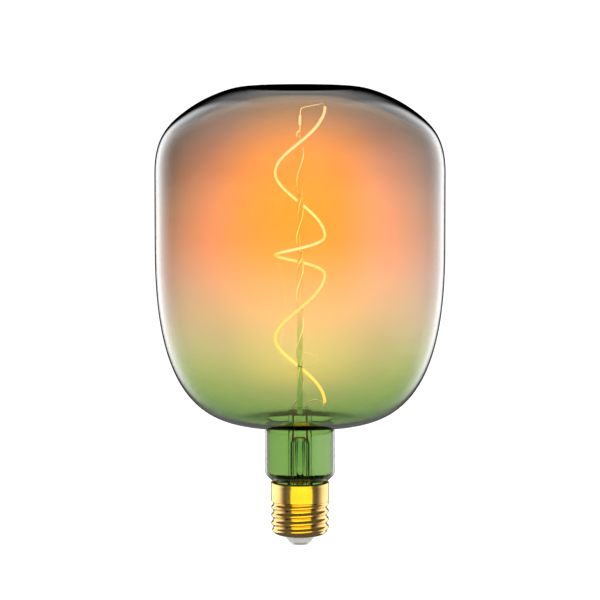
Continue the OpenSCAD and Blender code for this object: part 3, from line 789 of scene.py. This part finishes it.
def fusible_resistor():
    """A lacquered body with four colour stripes."""
    m = varied("lacquered_body", (0.10, 0.26, 0.20), (0.18, 0.38, 0.30), 500.0, 0.35, 0.5)
    body, _ = middle("fusible_resistor", 0)
    for place, color in ((-1.5, BROWN), (-0.6, BLACK), (0.3, BROWN), (1.5, GOLD)):
        overlay(m, m.math("SUBTRACT", 1.0, beyond(m, 0, body + place, STRIPE_HALF)), color)
    return m


def smoothing_capacitor():
    """A can in shrink film with a pale stripe along its top and a bare metal end."""
    m = varied("shrink_film", (0.02, 0.025, 0.05), (0.05, 0.06, 0.10), 400.0, 0.25, 0.4)
    can, half = middle("smoothing_capacitor", 0)
    axis, can_r = middle("smoothing_capacitor", 2)
    overlay(m, m.math("GREATER_THAN", m.axis(2), (axis + 0.72 * can_r) * MM), (0.50, 0.52, 0.56))
    end = m.math("LESS_THAN", m.axis(0), (can - half + 0.12) * MM)
    return overlay(m, end, (0.80, 0.80, 0.80), metal=True)


paint(varied("copper_seal", (0.42, 0.13, 0.06), (0.62, 0.26, 0.13), 300.0, 0.3, 0.5, metal=0.7),
      "seal_wire_left", "seal_wire_right")
paint(varied("tinned_metal", (0.66, 0.66, 0.65), (0.82, 0.82, 0.80), 500.0, 0.25, 0.4, metal=0.9),
      "lead_out_wire_left", "lead_out_wire_right", "capacitor_leads", "fusible_resistor_leads")
paint(varied("tab_strip", (0.68, 0.66, 0.60), (0.84, 0.82, 0.78), 400.0, 0.3, 0.45, metal=0.8),
      "filament_tab_top", "filament_tab_bottom")
paint(varied("amber_film", (0.55, 0.28, 0.08), (0.72, 0.42, 0.16), 500.0, 0.35, 0.5), "filament_strip")
paint(varied("led_gel", (0.85, 0.75, 0.35), (0.98, 0.92, 0.6), 900.0, 0.3, 0.45), "led_chips")
paint(varied("capping_cement", (0.52, 0.48, 0.40), (0.74, 0.70, 0.62), 700.0, 0.8, 0.95,
             bump=0.6, depth=0.0001), "basing_cement")
paint(varied("milky_film", (0.74, 0.76, 0.72), (0.86, 0.88, 0.84), 200.0, 0.35, 0.5), "insulating_sleeve")
paint(varied("red_insulation", (0.45, 0.03, 0.02), (0.62, 0.06, 0.04), 600.0, 0.4, 0.55), "live_wire")
paint(varied("black_insulation", (0.015, 0.015, 0.017), (0.04, 0.04, 0.045), 600.0, 0.4, 0.55),
      "neutral_wire")
paint(varied("solder_joint", (0.60, 0.61, 0.64), (0.78, 0.79, 0.81), 350.0, 0.25, 0.45, metal=0.8),
      "neutral_solder_joint", "board_solder_joints")
paint(black_moulding("black_moulding"), "pin_header")
for node in ("bridge_rectifier", "driver_chip"):
    paint(chip(node), node)
paint(chip_resistors(), "chip_resistors")
paint(varied("ferrite", (0.05, 0.05, 0.055), (0.11, 0.11, 0.115), 500.0, 0.6, 0.8, bump=0.4), "inductor_core")
paint(varied("enamelled_copper", (0.50, 0.18, 0.05), (0.75, 0.34, 0.12), 500.0, 0.2, 0.35, metal=0.9),
      "inductor_winding")
paint(fusible_resistor(), "fusible_resistor")
paint(varied("tin_shield", (0.60, 0.60, 0.58), (0.76, 0.76, 0.74), 300.0, 0.25, 0.4,
             metal=0.95, stretch=(0.2, 1, 1)), "radio_shield_can")
paint(varied("gold_flash", (0.78, 0.56, 0.20), (0.90, 0.70, 0.30), 400.0, 0.18, 0.32, metal=1.0),
      "radio_antenna", "radio_pins")
paint(smoothing_capacitor(), "smoothing_capacitor")
paint(circuit_board("green_mask", (0.01, 0.10, 0.03), (0.03, 0.20, 0.07), 1.1), "driver_board")
paint(circuit_board("blue_mask", (0.01, 0.03, 0.12), (0.03, 0.07, 0.22), 0.9), "radio_board")

# ---------------------------------------------------------------- floor

FLOOR_HALF = 30.0  # m
FLOOR_Z = -0.0002
FLOOR_GLOW = 0.96

scene = bpy.context.scene
scene.view_settings.view_transform = "Standard"
# Light crosses up to 16 glass faces between the camera and the back of the neck.
scene.cycles.max_bounces = 32
scene.cycles.transmission_bounces = 32


def pale_floor():
    """Nearly white by its own light, and dark in reflections."""
    m = Mat("pale_floor").set(Roughness=0.8, Emission_Color=(1, 1, 1, 1))
    m.to("Base Color", m.mix(m.noise(3.0), (0.20, 0.20, 0.20), (0.22, 0.22, 0.22)))
    glossy = m.node("ShaderNodeLightPath").outputs["Glossy Depth"]
    straight = m.math("SUBTRACT", 1.0, glossy, clamp=True)
    return m.to("Emission Strength", m.math("MULTIPLY", FLOOR_GLOW, straight))


floor_mesh = bpy.data.meshes.new("studio_floor")
floor_mesh.from_pydata([(FLOOR_HALF * x, FLOOR_HALF * y, 0) for x, y in ((-1, -1), (1, -1), (1, 1), (-1, 1))],
                       [], [(0, 1, 2, 3)])
floor = bpy.data.objects.new("studio_floor", floor_mesh)
floor.location = (0, 0, FLOOR_Z)
scene.collection.objects.link(floor)
dress(floor, pale_floor())
floor.visible_glossy = False
floor.visible_shadow = False

# ---------------------------------------------------------------- surroundings

# White all round for what is seen straight or through the glass. What the outer wall mirrors is a dark
# studio: a tall soft strip behind each side, a wide glow to the right, a crest high up behind and a
# pale glow low down. What is mirrored inside the glass, or by the brass, is an evenly dim room.
INNER_ROOM = 0.25
METAL_ROOM = 0.10

world = bpy.data.worlds.new("studio_world")
scene.world = world
world.use_nodes = True
wt = world.node_tree
path = wt.nodes.new("ShaderNodeLightPath")


def world_math(operation, *sources, clamp=False):
    n = wt.nodes.new("ShaderNodeMath")
    n.operation = operation
    n.use_clamp = clamp
    for i, source in enumerate(sources):
        if isinstance(source, (int, float)):
            n.inputs[i].default_value = source
        else:
            wt.links.new(source, n.inputs[i])
    return n.outputs[0]


def plus(a, b):
    return world_math("ADD", a, b)


def less(a, b, clamp=False):
    return world_math("SUBTRACT", a, b, clamp=clamp)


def times(a, b):
    return world_math("MULTIPLY", a, b)


def world_curve(source, lo, hi, stops, top=1.0):
    """A smooth curve over degrees lo to hi through (degree, value) stops, none over top."""
    at = world_math("DIVIDE", less(source, lo), hi - lo, clamp=True)
    r = wt.nodes.new("ShaderNodeValToRGB")
    r.color_ramp.interpolation = "CARDINAL"
    els = r.color_ramp.elements
    while len(els) < len(stops):
        els.new(0.5)
    for e, (degree, value) in zip(els, stops):
        e.position = (degree - lo) / (hi - lo)
        e.color = (value / top, value / top, value / top, 1)
    wt.links.new(at, r.inputs[0])
    return times(r.outputs[0], top)


direction = wt.nodes.new("ShaderNodeSeparateXYZ")
wt.links.new(wt.nodes.new("ShaderNodeTexCoord").outputs["Generated"], direction.inputs[0])
dx, dy, dz = direction.outputs
turned = times(world_math("ARCTAN2", dx, times(dy, -1.0)), math.degrees(1))
raised = times(world_math("ARCSINE", dz), math.degrees(1))
away = world_math("ABSOLUTE", turned)
# The strips lean to the back as they rise, and to the front below the horizon.
lean = less(away, times(world_math("MAXIMUM", raised, 0.0), 0.33))
lean = plus(lean, times(world_math("MAXIMUM", less(-8.0, raised), 0.0), 0.4))

strips_across = world_curve(lean, 110, 170, [
    (118, 0.0), (126, 0.45), (130, 0.8), (134, 1.25), (138, 1.65), (143, 2.25), (147, 2.75), (151, 3.0),
    (154, 2.95), (157, 2.5), (160, 1.9), (163, 1.0), (167, 0.0)], 3.0)
strips_up = world_curve(raised, -60, 60, [
    (-45, 0.05), (-30, 0.2), (-20, 0.6), (-8, 1.0), (8, 1.0), (16, 0.8), (24, 0.62), (31, 0.47),
    (38, 0.33), (47, 0.2), (58, 0.0)])
strips_end = world_curve(away, 150, 180, [(160, 1.0), (163, 0.5), (166, 0.0)])
strips = times(times(strips_across, strips_up), strips_end)
wide = times(
    world_curve(turned, 20, 150, [
        (30, 0.0), (60, 1.3), (105, 1.3), (120, 1.0), (128, 0.7), (136, 0.35), (146, 0.0)], 1.3),
    world_curve(raised, -60, 60, [(-25, 0.0), (-8, 1.0), (10, 1.0), (40, 0.3), (58, 0.0)]))
crest = times(
    world_curve(away, 120, 180, [(130, 0.0), (158, 0.3), (168, 1.0), (180, 1.0)]),
    world_curve(raised, 0, 90, [
        (15, 0.0), (20, 0.12), (25, 0.38), (30, 0.6), (38, 0.75), (45, 0.7), (52, 0.4), (62, 0.0)], 0.75))
under = times(
    world_curve(away, 60, 180, [(80, 0.0), (105, 0.25), (135, 0.5), (155, 0.8), (172, 0.9)]),
    world_curve(raised, -90, 0, [
        (-72, 0.1), (-58, 0.35), (-42, 0.42), (-25, 0.3), (-12, 0.05), (-6, 0.0)], 0.42))

glossy, crossed = path.outputs["Glossy Depth"], path.outputs["Transmission Depth"]
sharp = path.outputs["Is Singular Ray"]
mirrored_once = less(1.0, world_math("ABSOLUTE", less(glossy, 1.0)), clamp=True)
outer = times(times(mirrored_once, less(1.0, crossed, clamp=True)), sharp)
inner = times(world_math("MINIMUM", glossy, 1.0), world_math("MINIMUM", crossed, 1.0))
metal = times(mirrored_once, less(1.0, sharp))
level = less(1.0, glossy, clamp=True)
level = plus(level, times(outer, plus(plus(strips, wide), plus(crest, under))))
level = plus(level, times(inner, INNER_ROOM))
level = plus(level, times(metal, METAL_ROOM))
wt.links.new(level, wt.nodes["Background"].inputs["Strength"])
wt.nodes["Background"].inputs["Color"].default_value = (1, 1, 1, 1)

# ---------------------------------------------------------------- lights

CAP_MIDDLE = (0, 0, 0.02)


def area(name, at, aim, size, radiance, color=(1, 1, 1)):
    """A rectangular light of a given radiance, not seen straight or through the glass."""
    light = bpy.data.lights.new(name, "AREA")
    light.shape = "RECTANGLE"
    light.size, light.size_y = size
    light.energy = radiance * size[0] * size[1] * math.pi
    light.color = color
    obj = bpy.data.objects.new(name, light)
    obj.location = at
    obj.rotation_euler = (Vector(aim) - Vector(at)).to_track_quat("-Z", "Y").to_euler()
    scene.collection.objects.link(obj)
    obj.visible_camera = False
    obj.visible_transmission = False
    return obj


def at_angle(azimuth, distance, z):
    """A point at an azimuth round the bulb, 0 towards the camera, positive to its right."""
    a = math.radians(azimuth)
    return (distance * math.sin(a), -distance * math.cos(a), z)


def only_for(light, *pieces_lit):
    """This light reaches only these pieces."""
    group = bpy.data.collections.new(f"{light.name}_on")
    for o in pieces_lit:
        group.objects.link(o)
    light.light_linking.receiver_collection = group


def soften(light, none_at, full_at):
    """Fades an area light's face across its width, from none at one place to full at another."""
    light.data.use_nodes = True
    t = light.data.node_tree
    across = t.nodes.new("ShaderNodeSeparateXYZ")
    t.links.new(t.nodes.new("ShaderNodeNewGeometry").outputs["Parametric"], across.inputs[0])
    fade = t.nodes.new("ShaderNodeMapRange")
    fade.interpolation_type = "SMOOTHSTEP"
    fade.inputs["From Min"].default_value = none_at
    fade.inputs["From Max"].default_value = full_at
    t.links.new(across.outputs[0], fade.inputs["Value"])
    t.links.new(fade.outputs["Result"], t.nodes["Emission"].inputs["Strength"])


for side, none_at, full_at in ((-1, 0.96, 0.52), (1, 0.12, 0.62)):
    back = area(f"cap_back_{side}", at_angle(side * 108, 1.2, -0.1), CAP_MIDDLE, (2.4, 1.6), 1.35)
    soften(back, none_at, full_at)
    only_for(back, cap, insulator, contact)
front = area("cap_front", at_angle(6, 1.0, -0.1), CAP_MIDDLE, (1.9, 2.4), 1.2, (1.0, 0.98, 0.0))
only_for(front, cap)
fill = area("cap_fill", at_angle(0, 1.4, 0.0), CAP_MIDDLE, (4.0, 2.4), 0.05, (1.0, 0.85, 0.4))
only_for(fill, cap, insulator, contact)
top_soft = area("top_soft", (0, -0.4, 1.8), (0, 0, 0.1), (1.4, 1.4), 0.6, (1, 0.98, 0.95))
top_soft.visible_glossy = False

# The lit filament's own light on what is inside the glass, stronger in the upper half.
UPPER_GLOW = 0.08
LOWER_GLOW = 0.025
GLOW_OUT = 1.6  # how far out the lamps stand, in radii of the coil
for i, a in enumerate((-450, -270, -90, 90, 270, 450)):
    lamp = bpy.data.lights.new(f"filament_light_{i}", "POINT")
    lamp.energy = UPPER_GLOW if a < 0 else LOWER_GLOW
    lamp.color = (1.0, 0.80, 0.50)
    lamp.shadow_soft_size = 0.006
    holder = bpy.data.objects.new(lamp.name, lamp)
    holder.location = [c * MM * out for c, out in zip(coil_point(a), (GLOW_OUT, GLOW_OUT, 1.0))]
    holder.visible_camera = holder.visible_transmission = False
    scene.collection.objects.link(holder)
    only_for(holder, hook, long_lead, short_lead, splice, stem, rod)

# ---------------------------------------------------------------- haze

# Warm haze of light in the drum, round the filament. It isn't part of the bulb.
HAZE_Z = (60.0, 205.0)
HAZE_GAP = 0.9      # to the inside of the glass
HAZE_MIN_R = 30     # points of the outline nearer the axis are left out
HAZE_FULL_R = 66.0  # the radius at which the ramp of radii is 1
STATIONS = 24

room = sorted((z, r - HAZE_GAP - wall(z)) for r, z in outline
              if HAZE_Z[0] < z < HAZE_Z[1] and r > HAZE_MIN_R)


def haze_ramp(mat, stops):
    """A colour up the haze, through (mm, colour) stops."""
    share = mat.span(mat.axis(2), HAZE_Z[0] * MM, HAZE_Z[1] * MM)
    return mat.ramp(share, [((z - HAZE_Z[0]) / (HAZE_Z[1] - HAZE_Z[0]), c) for z, c in stops])


def fades_out(mat, share, power):
    """1 in the middle and 0 at a share of 1, later for a higher power."""
    return mat.math("SUBTRACT", 1.0, mat.math("POWER", share, power), clamp=True)


def warm_haze():
    """Layers that each give or take light, by height and by how far they are from the axis."""
    m = Mat("warm_haze")
    m.t.nodes.remove(m.bsdf)
    radius = m.math("SQRT", m.math("ADD", m.math("POWER", m.axis(0), 2.0), m.math("POWER", m.axis(1), 2.0)))
    stations = [room[round(i * (len(room) - 1) / (STATIONS - 1))] for i in range(STATIONS)]
    room_r = haze_ramp(m, [(z, (r / HAZE_FULL_R,) * 3) for z, r in stations])
    out = m.math("DIVIDE", radius, m.math("MULTIPLY", room_r, HAZE_FULL_R * MM), clamp=True)
    whole = fades_out(m, out, 8.0)
    broad = fades_out(m, out, 2.0)
    core = fades_out(m, m.math("DIVIDE", out, 0.62), 2.0)
    # What each layer takes or gives per metre, in red, green and blue, by height.
    layers = (
        ("Absorption", whole, 8.0, (
            (60, (0, 2.5, 0)), (80, (0, 2.5, 6.0)), (100, (0, 2.5, 7.2)), (122, (0, 2.5, 7.0)),
            (136, (0, 2.5, 5.4)), (150, (0, 2.2, 2.4)), (164, (0, 1.5, 0.3)), (205, (0, 1.4, 0.2)))),
        ("Absorption", core, 24.0, (
            (60, (0, 5, 7)), (72, (0, 2, 2)), (84, (0, 1, 0)), (108, (0, 4.6, 0.8)), (122, (0, 3.6, 7.2)),
            (136, (0, 2.6, 16)), (150, (0, 2.8, 21)), (164, (0, 2.4, 19.3)), (176, (0, 0.8, 12.8)),
            (188, (0, 0.5, 7.3)), (205, (0, 0, 0)))),
        ("Emission", broad, 28.0, (
            (60, (3.2, 3, 2.8)), (72, (1, 0.5, 2.5)), (94, (0, 0.6, 2.3)), (108, (4, 2.9, 2.1)),
            (122, (9.2, 3.7, 1.6)), (136, (14.8, 4.2, 0.3)), (150, (20.4, 6, 0)), (164, (26, 8.3, 0.7)),
            (176, (22.9, 7.1, 1.2)), (188, (11.3, 3.6, 0.5)), (197, (4.6, 1.6, 0)), (205, (0, 0, 0)))),
        ("Emission", core, 14.0, (
            (60, (0, 1.2, 0)), (70, (0.8, 2.4, 0)), (80, (4.9, 5, 0)), (94, (5.8, 7, 0)),
            (108, (3.9, 5.6, 0)), (122, (0.3, 3.5, 0)), (150, (0, 1.2, 0)), (164, (1, 1.8, 0)),
            (176, (9.6, 4.7, 0)), (186, (11.7, 3.9, 0)), (195, (6.6, 2.4, 0)), (205, (3.6, 2.8, 0)))))
    total = None
    for kind, weight, top, stops in layers:
        if kind == "Absorption":
            shader, amount = m.node("ShaderNodeVolumeAbsorption"), "Density"
            shares = [(z, tuple(1 - v / top for v in c)) for z, c in stops]
        else:
            shader, amount = m.node("ShaderNodeEmission"), "Strength"
            shares = [(z, tuple(v / top for v in c)) for z, c in stops]
        m.link(haze_ramp(m, shares), shader.inputs["Color"])
        m.link(m.math("MULTIPLY", weight, top), shader.inputs[amount])
        if total is None:
            total = shader.outputs[0]
            continue
        both = m.node("ShaderNodeAddShader")
        m.link(total, both.inputs[0])
        m.link(shader.outputs[0], both.inputs[1])
        total = both.outputs[0]
    m.link(total, m.out.inputs["Volume"])
    return m


haze = lathe("warm_haze", [(0.0, room[0][0])] + [(r, z) for z, r in room] + [(0.0, room[-1][0])], 96,
             closed=False)
dress(haze, warm_haze())
haze.visible_shadow = False

# ---------------------------------------------------------------- camera

camera_data = bpy.data.cameras.new("camera")
camera = bpy.data.objects.new("camera", camera_data)
scene.collection.objects.link(camera)
scene.camera = camera
camera_data.lens = 240.3
camera_data.sensor_width = 36.0
camera_data.clip_end = 100
camera.location = (0, -1.8, 0.305)
camera.rotation_euler = (Vector((0, 0, 0.1114)) - Vector(camera.location)).to_track_quat("-Z", "Y").to_euler()
